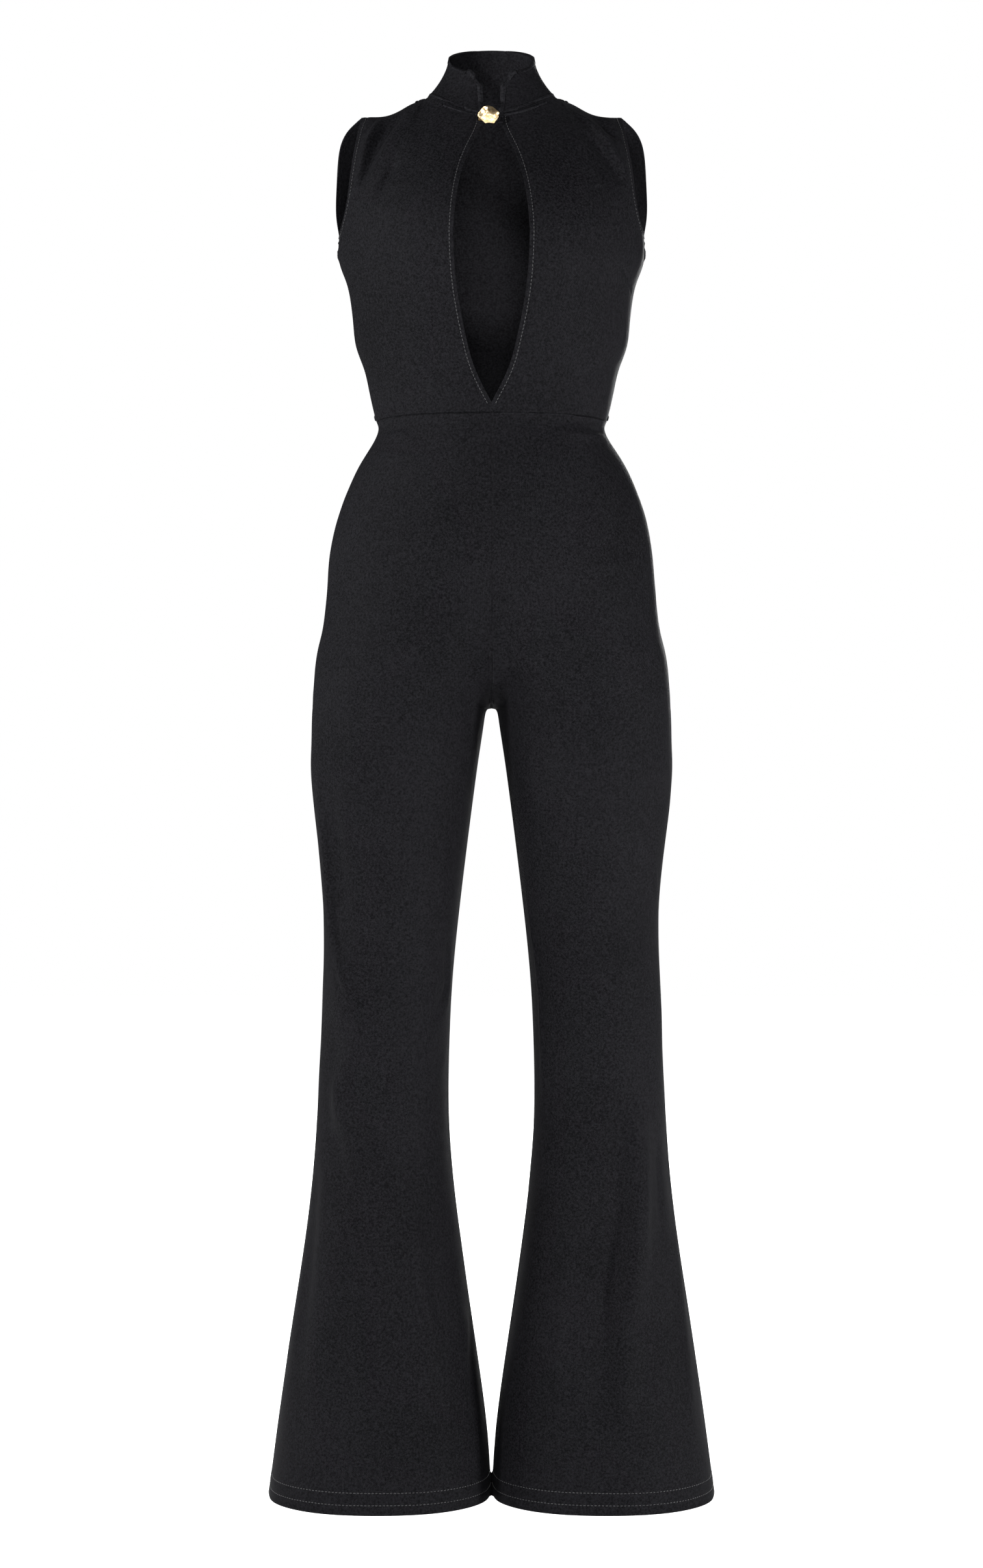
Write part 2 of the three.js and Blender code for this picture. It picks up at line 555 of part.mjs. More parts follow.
function solidOf(geometry) {
  geometry.deleteAttribute("normal");
  geometry.deleteAttribute("uv");
  const merged = mergeVertices(geometry, 1e-4);
  return new wasm.Manifold(
    new wasm.Mesh({
      numProp: 3,
      vertProperties: new Float32Array(merged.attributes.position.array),
      triVerts: new Uint32Array(merged.index.array),
    }),
  );
}

function geometryOf(solid) {
  const { vertProperties, triVerts, numProp } = solid.getMesh();
  const points = [];
  for (let i = 0; i < vertProperties.length; i += numProp)
    points.push(new THREE.Vector3(...vertProperties.slice(i, i + 3)));
  return new THREE.BufferGeometry().setFromPoints(points).setIndex([...triVerts]);
}

function nugget() {
  const lumps = [
    { x: 0.7, y: -0.5, z: 0.45, size: 0.2 },
    { x: -0.55, y: -0.6, z: -0.5, size: 0.22 },
    { x: -0.6, y: -0.5, z: 0.6, size: 0.12 },
    { x: 0.3, y: -0.8, z: -0.6, size: 0.15 },
    { x: 0.05, y: -1, z: 0.15, size: -0.14 },
    { x: 0.95, y: -0.2, z: -0.25, size: -0.1 },
  ];
  const geometry = new THREE.IcosahedronGeometry(1, 4);
  const places = geometry.attributes.position;
  const point = new THREE.Vector3();
  for (let i = 0; i < places.count; i++) {
    point.fromBufferAttribute(places, i);
    const swell = lumps.reduce((sum, lump) => {
      const near = point.distanceToSquared(new THREE.Vector3(lump.x, lump.y, lump.z).normalize());
      return sum + lump.size * Math.exp(-near / 0.25);
    }, 0.93);
    point.multiplyScalar(swell);
    point.y = Math.min(point.y, 0.55);
    places.setXYZ(i, point.x, point.y, point.z);
  }
  return geometry.scale(button.halfWidth, button.halfDepth, button.halfHeight);
}

function buttonMesh() {
  const clothY = torsoY("front", shank.x, shank.height);
  const nuggetY = torsoY("front", openingHalfWidth, button.height) - button.standOff - button.halfDepth;
  const foot = clothY - seamGap - shank.footSlope * shank.radius;
  const head = nuggetY;
  const post = new THREE.CylinderGeometry(shank.radius, shank.radius, foot - head, 16);
  post.translate(shank.x, (foot + head) / 2, shank.height);
  const body = nugget().translate(button.x, nuggetY, button.height);
  const mesh = new THREE.Mesh(geometryOf(solidOf(body).add(solidOf(post))), castGold());
  mesh.name = "button";
  return mesh;
}

// A thin loop sewn on the left front's edge, round the shank and back
function buttonLoop() {
  const place = (x, z) => new THREE.Vector3(x, torsoY("front", x, shank.height + z) - loop.standOff, z);
  const strand = (z) => [
    place(loop.sewnAt, z),
    place(openingHalfWidth, z),
    place(0, z),
    place(shank.x + 4, z),
    place(shank.x, z),
    place(shank.x - loop.reach * Math.SQRT1_2, z * Math.SQRT1_2),
  ];
  const turn = place(shank.x - loop.reach, 0);
  const half = strand(loop.reach);
  const back = strand(-loop.reach).reverse();
  const path = new THREE.CatmullRomCurve3([...half, turn, ...back]);
  const section = new THREE.Shape().absarc(0, 0, loop.radius, 0, 2 * Math.PI);
  const geometry = new THREE.ExtrudeGeometry(section, { steps: 26, curveSegments: 4, extrudePath: path });
  const mesh = new THREE.Mesh(geometry.translate(0, 0, shank.height), jersey());
  mesh.name = "button_loop";
  return mesh;
}

const garment = new THREE.Group();
garment.position.z = -tipHeight;
for (const [word, side] of [
  ["left", 1],
  ["right", -1],
]) {
  garment.add(bodicePanel(`bodice_front_${word}`, "front", side));
  garment.add(trouserPanel(`trouser_front_${word}`, "front", side));
  garment.add(trouserPanel(`trouser_back_${word}`, "back", side));
}
garment.add(bodicePanel("bodice_back", "back"), collar(), buttonMesh(), buttonLoop());

const jumpsuit = new THREE.Group();
jumpsuit.add(garment);
export default jumpsuit;
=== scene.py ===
import math

import bmesh
import bpy
import numpy as np
from mathutils import Matrix, Vector
from mathutils.bvhtree import BVHTree


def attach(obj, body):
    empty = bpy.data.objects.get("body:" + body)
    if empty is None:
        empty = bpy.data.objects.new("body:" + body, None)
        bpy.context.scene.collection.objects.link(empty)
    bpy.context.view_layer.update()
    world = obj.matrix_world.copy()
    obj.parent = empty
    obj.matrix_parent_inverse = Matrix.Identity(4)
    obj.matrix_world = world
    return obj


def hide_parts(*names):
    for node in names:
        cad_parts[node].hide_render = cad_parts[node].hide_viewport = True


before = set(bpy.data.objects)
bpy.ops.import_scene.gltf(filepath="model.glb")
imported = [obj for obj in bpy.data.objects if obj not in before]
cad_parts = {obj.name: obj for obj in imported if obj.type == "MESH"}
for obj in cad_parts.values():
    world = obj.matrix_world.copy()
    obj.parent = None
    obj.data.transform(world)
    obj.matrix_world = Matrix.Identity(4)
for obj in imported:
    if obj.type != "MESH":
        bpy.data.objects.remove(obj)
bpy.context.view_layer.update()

# A black stretch jersey jumpsuit, filled out as on a wearer. Metres; the front faces -Y, and the
# wearer's left is +X. Heights are z, so the hem is at -1.404 and the shoulder tips at 0.
hemZ = -1.404
waistZ = -0.312
weldReach = 1e-6


# Helpers for nodes and meshes

def link(obj):
    bpy.context.scene.collection.objects.link(obj)
    return obj


def setInputs(node, **values):
    for key, value in values.items():
        node.inputs[key.replace("_", " ")].default_value = value


def addNode(nodes, kind, **values):
    node = nodes.new("ShaderNode" + kind)
    setInputs(node, **values)
    return node


# One strength for the light that a thing gives, and another for how bright the camera sees it
def splitStrength(nodes, links, given, seen, target):
    ray = addNode(nodes, "LightPath")
    strength = addNode(nodes, "MapRange", To_Min=given, To_Max=seen)
    links.new(ray.outputs["Is Camera Ray"], strength.inputs["Value"])
    links.new(strength.outputs["Result"], target)


def opened(data):
    bm = bmesh.new()
    bm.from_mesh(data)
    return bm


def writeBack(bm, data):
    bm.to_mesh(data)
    bm.free()


def newObject(bm, name):
    data = bpy.data.meshes.new(name)
    writeBack(bm, data)
    return link(bpy.data.objects.new(name, data))


# A node's own triangles, joined at the points that they share
def nodeMesh(name):
    bm = opened(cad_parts[name].data)
    bmesh.ops.remove_doubles(bm, verts=bm.verts, dist=weldReach)
    return bm


def applied(obj):
    graph = bpy.context.evaluated_depsgraph_get()
    data = bpy.data.meshes.new_from_object(obj.evaluated_get(graph), depsgraph=graph)
    obj.modifiers.clear()
    old = obj.data
    obj.data = data
    bpy.data.meshes.remove(old)


def subdivided(bm, name, levels):
    obj = newObject(bm, name)
    smooth = obj.modifiers.new("smooth", "SUBSURF")
    smooth.levels = smooth.render_levels = levels
    smooth.boundary_smooth = "PRESERVE_CORNERS"
    applied(obj)
    return obj


def places(data):
    co = np.empty(len(data.vertices) * 3)
    data.vertices.foreach_get("co", co)
    return co.reshape(-1, 3)


def normalsOf(data):
    out = np.empty(len(data.vertices) * 3)
    data.vertices.foreach_get("normal", out)
    return out.reshape(-1, 3)


def setPlaces(data, co):
    data.vertices.foreach_set("co", co.ravel())
    data.update()


# Moves each point out along its normal
def lift(obj, rise):
    setPlaces(obj.data, places(obj.data) + normalsOf(obj.data) * rise[:, None])


# Camera and light

view = {"distance": 3.0, "height": -0.681, "lens": 44.97, "sensorHeight": 24.0, "clipEnd": 50}
studio = {"ambient": 0.035, "white": 1.0, "lampTarget": (0, 0, -0.65)}
softLights = [
    {"name": "frontLight", "at": (0.0, -3.5, -0.25), "size": (0.8, 1.0), "watts": 52},
    {"name": "keyLight", "at": (-2.3, -1.7, 1.1), "size": (0.4, 0.5), "watts": 86},
    {"name": "fillLight", "at": (2.3, -1.3, -1.0), "size": (0.4, 0.6), "watts": 62},
    {"name": "rimLeft", "at": (-2.4, -0.3, -0.5), "size": (0.8, 2.2), "watts": 38},
    {"name": "rimRight", "at": (2.4, -0.1, -0.4), "size": (0.8, 2.2), "watts": 12},
    {"name": "backLight", "at": (0.6, 3.3, 0.3), "size": (1.4, 1.4), "watts": 110},
]


def addCamera():
    data = bpy.data.cameras.new("photoView")
    data.sensor_fit = "VERTICAL"
    data.sensor_height = view["sensorHeight"]
    data.lens = view["lens"]
    data.clip_end = view["clipEnd"]
    obj = link(bpy.data.objects.new("photoView", data))
    obj.location = (0, -view["distance"], view["height"])
    obj.rotation_euler = (math.radians(90), 0, 0)
    bpy.context.scene.camera = obj


def addLights():
    target = Vector(studio["lampTarget"])
    for lamp in softLights:
        data = bpy.data.lights.new(lamp["name"], "AREA")
        data.shape = "RECTANGLE"
        data.size, data.size_y = lamp["size"]
        data.energy = lamp["watts"]
        obj = link(bpy.data.objects.new(lamp["name"], data))
        obj.location = lamp["at"]
        obj.rotation_euler = (target - obj.location).to_track_quat("-Z", "Y").to_euler()
    world = bpy.data.worlds.new("paleStudio")
    world.use_nodes = True
    nodes, links = world.node_tree.nodes, world.node_tree.links
    background = nodes["Background"]
    setInputs(background, Color=(1, 1, 1, 1))
    splitStrength(nodes, links, studio["ambient"], studio["white"], background.inputs["Strength"])
    bpy.context.scene.world = world


addCamera()
addLights()
bpy.context.scene.view_settings.view_transform = "Standard"
print("camera and lights set")


# Materials

# The part of a noise's range that most of it lies in
noiseSpan = (0.3, 0.7)


def newMaterial(name):
    material = bpy.data.materials.new(name)
    material.use_nodes = True
    nodes = material.node_tree.nodes
    return material, nodes, material.node_tree.links, nodes["Principled BSDF"]


def addTone(nodes, links, source, shader, colours, span=(0.0, 1.0)):
    tone = addNode(nodes, "ValToRGB")
    for element, at, colour in zip(tone.color_ramp.elements, span, colours):
        element.position = at
        element.color = colour
    links.new(source, tone.inputs["Fac"])
    links.new(tone.outputs["Color"], shader.inputs["Base Color"])


def addRoughness(nodes, links, source, shader, span):
    rough = addNode(
        nodes, "MapRange", From_Min=noiseSpan[0], From_Max=noiseSpan[1], To_Min=span[0], To_Max=span[1],
    )
    links.new(source, rough.inputs["Value"])
    links.new(rough.outputs["Result"], shader.inputs["Roughness"])


def addBump(nodes, links, source, shader, strength, distance):
    bump = addNode(nodes, "Bump", Strength=strength, Distance=distance)
    links.new(source, bump.inputs["Height"])
    links.new(bump.outputs["Normal"], shader.inputs["Normal"])


# A source times its share, plus another source
def mixed(nodes, links, source, share, other=None):
    node = addNode(nodes, "Math")
    node.operation = "MULTIPLY" if other is None else "MULTIPLY_ADD"
    node.inputs[1].default_value = share
    links.new(source, node.inputs[0])
    if other is not None:
        links.new(other, node.inputs[2])
    return node.outputs["Value"]


jersey = {
    "colours": [(0.0018, 0.0018, 0.0023, 1), (0.0106, 0.0104, 0.0122, 1)],
    # Inside of the cloth, the jersey's wrong side: its colours are painted lighter than the face,
    # standing in for light that falls inside the garment
    "wrongSideLitColours": [(0.0038, 0.0038, 0.0046, 1), (0.0156, 0.0154, 0.0178, 1)],
    "toneSpan": (0.39, 0.61),
    "roughness": (0.65, 0.76),
    "ior": 1.45,
    "gloss": 0.05,
    "sheen": 0.009,
    "sheenRoughness": 0.45,
    "sheenTint": (0.8, 0.8, 0.86, 1),
    "waleScale": 0.314 / 0.0009,  # columns of knit loops, 0.9 mm apart
    "slantScale": 0.22 / 0.0007,  # slanting rows of loops, 1.4 mm apart
    "slantWobble": 0.6,
    "slantHeight": 0.45,
    "fuzzScale": 480.0,
    "fuzzHeight": 1.6,
    "fuzzTone": 0.86,
    "patchScale": 9.0,  # broad, faint unevenness of tone
    "patchTone": 0.14,
    "bump": 0.55,
    "knitHeight": 0.00012,
}


# Fine knit in columns of small V loops, on the cloth's own UV map in metres
def jerseyMaterial(name, colours):
    material, nodes, links, shader = newMaterial(name)
    setInputs(
        shader, IOR=jersey["ior"], Specular_IOR_Level=jersey["gloss"], Sheen_Weight=jersey["sheen"],
        Sheen_Roughness=jersey["sheenRoughness"], Sheen_Tint=jersey["sheenTint"],
    )
    grain = addNode(nodes, "UVMap")
    grain.uv_map = "grain"
    wales = addNode(nodes, "TexWave", Scale=jersey["waleScale"], Distortion=0.0)
    wales.bands_direction = "X"
    slants = addNode(
        nodes, "TexWave", Scale=jersey["slantScale"], Distortion=jersey["slantWobble"], Detail=0.0,
    )
    slants.bands_direction = "DIAGONAL"
    for wave in (wales, slants):
        wave.wave_profile = "SIN"
        links.new(grain.outputs["UV"], wave.inputs["Vector"])
    place = addNode(nodes, "TexCoord")
    fuzz = addNode(nodes, "TexNoise", Scale=jersey["fuzzScale"], Detail=4.0, Roughness=0.75)
    patches = addNode(nodes, "TexNoise", Scale=jersey["patchScale"], Detail=3.0, Roughness=0.5)
    for noise in (fuzz, patches):
        links.new(place.outputs["Object"], noise.inputs["Vector"])
    knit = mixed(nodes, links, slants.outputs["Fac"], jersey["slantHeight"], wales.outputs["Fac"])
    height = mixed(nodes, links, fuzz.outputs["Fac"], jersey["fuzzHeight"], knit)
    addBump(nodes, links, height, shader, jersey["bump"], jersey["knitHeight"])
    faint = mixed(nodes, links, patches.outputs["Fac"], jersey["patchTone"])
    tone = mixed(nodes, links, fuzz.outputs["Fac"], jersey["fuzzTone"], faint)
    addTone(nodes, links, tone, shader, colours, jersey["toneSpan"])
    addRoughness(nodes, links, tone, shader, jersey["roughness"])
    return material


thread = {
    "colours": [(0.004, 0.004, 0.005, 1), (0.016, 0.016, 0.019, 1)],
    "roughness": 0.5, "sheen": 0.2, "twistScale": 1400.0, "bump": 0.4, "twistHeight": 0.0001,
}


def threadMaterial():
    material, nodes, links, shader = newMaterial("blackThread")
    setInputs(shader, Roughness=thread["roughness"], Sheen_Weight=thread["sheen"])
    place = addNode(nodes, "TexCoord")
    twist = addNode(nodes, "TexNoise", Scale=thread["twistScale"], Detail=1.0)
    links.new(place.outputs["Object"], twist.inputs["Vector"])
    addTone(nodes, links, twist.outputs["Fac"], shader, thread["colours"])
    addBump(nodes, links, twist.outputs["Fac"], shader, thread["bump"], thread["twistHeight"])
    return material


gold = {
    "colours": [(0.78, 0.52, 0.24, 1), (0.95, 0.76, 0.47, 1)],
    "toneSpan": (0.35, 0.6), "roughness": (0.3, 0.46),
    "castScale": 420.0, "pitScale": 310.0, "bump": 0.5, "pitHeight": 0.0004,
}


def goldMaterial():
    material, nodes, links, shader = newMaterial("castGold")
    setInputs(shader, Metallic=1.0)
    place = addNode(nodes, "TexCoord")
    cast = addNode(nodes, "TexNoise", Scale=gold["castScale"], Detail=4.0, Roughness=0.55)
    pits = addNode(nodes, "TexVoronoi", Scale=gold["pitScale"])
    for pattern in (cast, pits):
        links.new(place.outputs["Object"], pattern.inputs["Vector"])
    addTone(nodes, links, cast.outputs["Fac"], shader, gold["colours"], gold["toneSpan"])
    addRoughness(nodes, links, cast.outputs["Fac"], shader, gold["roughness"])
    addBump(nodes, links, pits.outputs["Distance"], shader, gold["bump"], gold["pitHeight"])
    return material


clothFinish = jerseyMaterial("blackJersey", jersey["colours"])
# A lit copy of the jersey for the inside of the garment: its lighter colours are painted light
clothInsidePaintedLight = jerseyMaterial("jerseyWrongSidePaintedLight", jersey["wrongSideLitColours"])
threadStuff = threadMaterial()
goldStuff = goldMaterial()
print("materials made")


# Floor, so pale that it can't be told from the white round it

floor = {
    "halfWidth": 7.0, "colours": [(0.93, 0.93, 0.93, 1), (0.96, 0.96, 0.96, 1)],
    "cloudScale": 1.2, "roughness": 0.9, "given": 0.2, "seen": 1.05,
}


def floorMaterial():
    material, nodes, links, shader = newMaterial("paleFloor")
    setInputs(shader, Roughness=floor["roughness"], Emission_Color=(1, 1, 1, 1))
    place = addNode(nodes, "TexCoord")
    cloud = addNode(nodes, "TexNoise", Scale=floor["cloudScale"], Detail=2.0)
    links.new(place.outputs["Object"], cloud.inputs["Vector"])
    addTone(nodes, links, cloud.outputs["Fac"], shader, floor["colours"])
    splitStrength(nodes, links, floor["given"], floor["seen"], shader.inputs["Emission Strength"])
    return material


def addFloor():
    bm = bmesh.new()
    bmesh.ops.create_grid(bm, x_segments=1, y_segments=1, size=floor["halfWidth"])
    bmesh.ops.translate(bm, verts=bm.verts, vec=(0, 0, hemZ))
    obj = newObject(bm, "floorSheet")
    obj.data.materials.append(floorMaterial())


addFloor()


# Cloth panels: the way each faces (-1 front, 1 back, 0 all round), its flat size and its area

panels = {
    "bodice_front_left": {"face": -1, "flat": (0.19, 0.385), "area": 0.0551},
    "bodice_front_right": {"face": -1, "flat": (0.19, 0.385), "area": 0.0550},
    "bodice_back": {"face": 1, "flat": (0.41, 0.38), "area": 0.1275},
    "trouser_front_left": {"face": -1, "flat": (0.34, 1.11), "area": 0.2757},
    "trouser_front_right": {"face": -1, "flat": (0.34, 1.11), "area": 0.2759},
    "trouser_back_left": {"face": 1, "flat": (0.34, 1.12), "area": 0.2888},
    "trouser_back_right": {"face": 1, "flat": (0.34, 1.12), "area": 0.2887},
    "collar": {"face": 0, "flat": (0.40, 0.05), "area": 0.0151},
}
cloth = {
    "thickness": 0.0012, "collarThickness": 0.0024, "levels": 3, "bodiceInset": 0.004, "rimFade": 0.012,
    "seamRoll": 0.0012, "seamDepth": 0.00025, "edgeDepth": 0.0005, "bodiceRoll": 0.4,
}
legs = {"fromZ": -0.6, "axisX": 0.1, "hemAxisX": 0.1139, "grainFromZ": -0.56, "grainBlend": 0.1}
grainRadius = 0.1
wallTurn = {"rimAngle": math.radians(52), "quadAngle": math.radians(60), "anyShape": math.radians(180)}


# 1 for a panel on the wearer's left, -1 for any other
def sideOf(name):
    return 1 if name.endswith("left") else -1


# The outer sheet of a node's closed wall: split where the wall turns at its rim, keep the sheet
# that faces outwards, and join its triangles to quads.
def outerSheet(name):
    bm = nodeMesh(name)
    sharp = [e for e in bm.edges if len(e.link_faces) == 2 and e.calc_face_angle() > wallTurn["rimAngle"]]
    bmesh.ops.split_edges(bm, edges=sharp)
    bm.faces.ensure_lookup_table()
    left = set(bm.faces)
    islands = []
    while left:
        stack = [left.pop()]
        island = list(stack)
        while stack:
            for edge in stack.pop().edges:
                for near in edge.link_faces:
                    if near in left:
                        left.discard(near)
                        stack.append(near)
                        island.append(near)
        islands.append(island)
    islands.sort(key=lambda faces: -sum(f.calc_area() for f in faces))
    keep = set(max(islands[:2], key=lambda faces: sum(outwardness(name, f) for f in faces)))
    bmesh.ops.delete(bm, geom=[f for f in bm.faces if f not in keep], context="FACES")
    bmesh.ops.join_triangles(
        bm, faces=bm.faces, angle_face_threshold=wallTurn["quadAngle"],
        angle_shape_threshold=wallTurn["anyShape"], topology_influence=1.5,
    )
    return bm


# Positive for a face that looks away from the inside of its panel
def outwardness(name, face):
    centre = face.calc_center_median()
    inLeg = name.startswith("trouser") and centre.z < legs["fromZ"]
    axisX = sideOf(name) * legs["axisX"] if inLeg else 0.0
    away = Vector((centre.x - axisX, centre.y * 2, 0.02))
    return face.normal.dot(away) * face.calc_area()


# Smoothing pulls a control mesh in; this moves its points out so that the smooth cloth passes
# through the solid's own points.
def holdForm(bm, rounds=4):
    bm.verts.ensure_lookup_table()
    target = [v.co.copy() for v in bm.verts]
    for _ in range(rounds):
        limits = [smoothPlace(v) for v in bm.verts]
        for v, goal, limit in zip(bm.verts, target, limits):
            v.co = v.co + (goal - limit)


# Where a point of the control mesh ends up after endless rounds of smoothing
def smoothPlace(v):
    rim = [e for e in v.link_edges if e.is_boundary]
    if len(rim) == 2:
        if len(v.link_faces) == 1:
            return v.co.copy()
        ends = [e.other_vert(v).co for e in rim]
        return (v.co * 4 + ends[0] + ends[1]) / 6
    n = len(v.link_edges)
    near = [e.other_vert(v) for e in v.link_edges]
    nearSum = Vector((0, 0, 0))
    for w in near:
        nearSum += w.co
    farSum = Vector((0, 0, 0))
    for f in v.link_faces:
        others = [w for w in f.verts if w is not v and w not in near]
        farSum += others[0].co if others else v.co
    return (v.co * (n * n) + nearSum * 4 + farSum) / (n * (n + 5))


# Creases, seen from the front or the back: x and z of the points along each, its reach to either
# side and how far it rises. Lean turns a ridge into a step, high on one side and low on the other.
frontCreases = [
    # bodice front, round the armholes
    {"reach": 0.0082, "rise": -0.0074, "path": [
        (-0.090, -0.004), (-0.104, -0.020), (-0.115, -0.036), (-0.124, -0.058), (-0.132, -0.082)]},
    {"reach": 0.0050, "rise": 0.0044, "path": [
        (-0.112, -0.008), (-0.124, -0.032), (-0.131, -0.064), (-0.136, -0.086)]},
    {"reach": 0.0055, "rise": -0.0040, "path": [(-0.094, -0.064), (-0.103, -0.078), (-0.114, -0.092)]},
    {"reach": 0.0028, "rise": -0.0014, "path": [(-0.122, -0.046), (-0.128, -0.066), (-0.131, -0.080)]},
    {"reach": 0.0036, "rise": 0.0052, "path": [
        (0.083, -0.001), (0.097, -0.014), (0.109, -0.028), (0.120, -0.046), (0.132, -0.066)]},
    {"reach": 0.0074, "rise": -0.0060, "path": [(0.104, -0.004), (0.116, -0.018), (0.124, -0.034)]},
    {"reach": 0.0080, "rise": -0.0074, "path": [
        (0.094, -0.026), (0.109, -0.044), (0.122, -0.062), (0.131, -0.082)]},
    {"reach": 0.0030, "rise": 0.0013, "path": [(0.116, -0.022), (0.122, -0.030), (0.127, -0.040)]},
    {"reach": 0.0040, "rise": 0.0034, "path": [(0.097, -0.062), (0.104, -0.078), (0.106, -0.090)]},
    # bodice front, small pulls toward the waist seam
    {"reach": 0.0048, "rise": -0.0011, "path": [(-0.097, -0.296), (-0.080, -0.286), (-0.058, -0.281)]},
    {"reach": 0.0052, "rise": 0.0012, "path": [(0.108, -0.290), (0.088, -0.279), (0.069, -0.276)]},
    {"reach": 0.0055, "rise": -0.0008, "path": [(0.124, -0.244), (0.103, -0.251), (0.086, -0.249)]},
    # hips
    {"reach": 0.0032, "rise": -0.0016, "path": [(0.096, -0.324), (0.113, -0.325)]},
    {"reach": 0.0045, "rise": 0.0014, "path": [(0.078, -0.331), (0.102, -0.333), (0.116, -0.331)]},
    {"reach": 0.0040, "rise": -0.0011, "path": [(-0.108, -0.327), (-0.090, -0.326), (-0.074, -0.329)]},
    {"reach": 0.0040, "rise": -0.0013, "path": [(-0.158, -0.489), (-0.137, -0.488)]},
    {"reach": 0.0055, "rise": 0.0009, "path": [(0.151, -0.455), (0.128, -0.462), (0.112, -0.462)]},
    # crotch
    {"reach": 0.0050, "rise": -0.0016, "path": [(-0.020, -0.596), (-0.010, -0.588), (0.001, -0.582)]},
    {"reach": 0.0045, "rise": -0.0014, "path": [(0.016, -0.601), (0.009, -0.591), (0.001, -0.583)]},
    {"reach": 0.0075, "rise": 0.0018, "path": [(-0.080, -0.622), (-0.052, -0.606), (-0.026, -0.598)]},
    {"reach": 0.0070, "rise": -0.0013, "path": [(0.084, -0.634), (0.055, -0.614), (0.025, -0.603)]},
    # wearer's right leg, seen on the left
    {"reach": 0.0044, "rise": 0.0090, "path": [
        (-0.174, -0.666), (-0.163, -0.777), (-0.161, -0.815), (-0.157, -0.856), (-0.147, -0.889),
        (-0.127, -0.912)]},
    {"reach": 0.0090, "rise": -0.0060, "path": [(-0.162, -0.680), (-0.151, -0.780), (-0.146, -0.842)]},
    {"reach": 0.0130, "rise": 0.0100, "path": [(-0.128, -0.924), (-0.152, -0.984), (-0.152, -1.032)]},
    {"reach": 0.0150, "rise": 0.0080, "path": [(-0.150, -0.978), (-0.138, -1.040), (-0.118, -1.092)]},
    {"reach": 0.0060, "rise": -0.0055, "path": [(-0.047, -0.842), (-0.044, -0.887), (-0.060, -0.921)]},
    {"reach": 0.0060, "rise": 0.0012, "path": [(-0.045, -0.955), (-0.052, -0.972)]},
    {"reach": 0.0110, "rise": 0.0080, "path": [(-0.081, -1.090), (-0.074, -1.175), (-0.056, -1.237)]},
    {"reach": 0.0140, "rise": -0.0050, "path": [(-0.176, -1.060), (-0.186, -1.180), (-0.196, -1.300)]},
    {"reach": 0.0150, "rise": 0.0046, "path": [(-0.118, -1.120), (-0.124, -1.230), (-0.130, -1.380)]},
    {"reach": 0.0090, "rise": -0.0020, "path": [(-0.024, -1.150), (-0.020, -1.260), (-0.016, -1.360)]},
    # wearer's left leg, seen on the right
    {"reach": 0.0042, "rise": 0.0026, "path": [
        (0.032, -0.764), (0.040, -0.828), (0.048, -0.889), (0.051, -0.953), (0.052, -0.992)]},
    {"reach": 0.0115, "rise": -0.0125, "lean": 1.0, "path": [
        (0.137, -0.989), (0.141, -1.068), (0.140, -1.115), (0.129, -1.160), (0.125, -1.206),
        (0.117, -1.328)]},
    {"reach": 0.0075, "rise": -0.0024, "path": [(0.167, -1.040), (0.169, -1.085), (0.171, -1.130)]},
    {"reach": 0.0045, "rise": 0.0014, "path": [(0.163, -0.739), (0.165, -0.771), (0.166, -0.800)]},
    {"reach": 0.0120, "rise": 0.0040, "path": [(0.078, -1.080), (0.072, -1.190), (0.062, -1.330)]},
    {"reach": 0.0110, "rise": 0.0022, "path": [(0.186, -1.120), (0.194, -1.230), (0.204, -1.360)]},
    {"reach": 0.0100, "rise": -0.0014, "path": [(0.128, -0.860), (0.100, -0.880), (0.074, -0.868)]},
]
